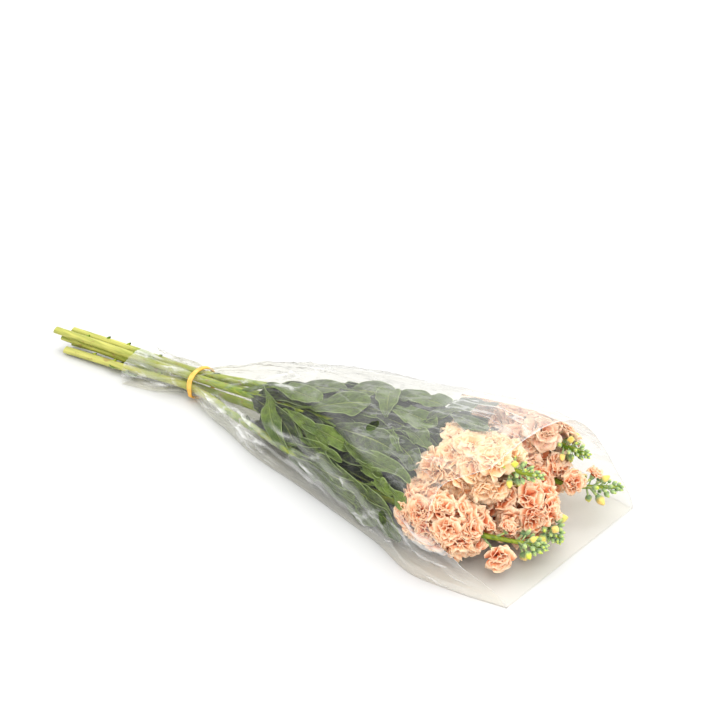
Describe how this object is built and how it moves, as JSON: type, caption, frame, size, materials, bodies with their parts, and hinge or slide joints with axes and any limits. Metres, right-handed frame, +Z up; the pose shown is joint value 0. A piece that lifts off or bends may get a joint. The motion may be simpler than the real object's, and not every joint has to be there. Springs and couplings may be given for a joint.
{
  "type": "stock flower bunch",
  "caption": "Bunch of cut double stock in a clear cone-shaped film sleeve, tied with a rubber band and lying on its side, with ruffled peach blooms at the open end.",
  "frame": {"origin": "on the surface that the bunch lies on, under the sleeve, 127 mm from the band and 325 mm from the corners of the sleeve's mouth", "axes": "+X along the bunch from the cut ends to the flowers, +Y across it, +Z up from the surface"},
  "size_m": [0.6456, 0.2165, 0.108],
  "materials": {
    "greenery": "satin",
    "pale_petals": "matte",
    "peach_petals": "matte",
    "clear_film": "gloss",
    "band_rubber": "satin"
  },
  "bodies": {
    "root": {"film_sleeve": "clear_film", "rubber_band": "band_rubber", "stem_a": "greenery", "stem_b": "greenery", "stem_c": "greenery", "stem_d": "greenery", "stem_e": "greenery", "bloom_a": "pale_petals", "bloom_b": "pale_petals", "bloom_c": "peach_petals", "bloom_d": "peach_petals", "bloom_e": "peach_petals", "floret_c_lower": "peach_petals", "floret_c_upper": "peach_petals", "floret_d_lower": "peach_petals", "floret_d_upper": "peach_petals"}
  },
  "joints": []
}
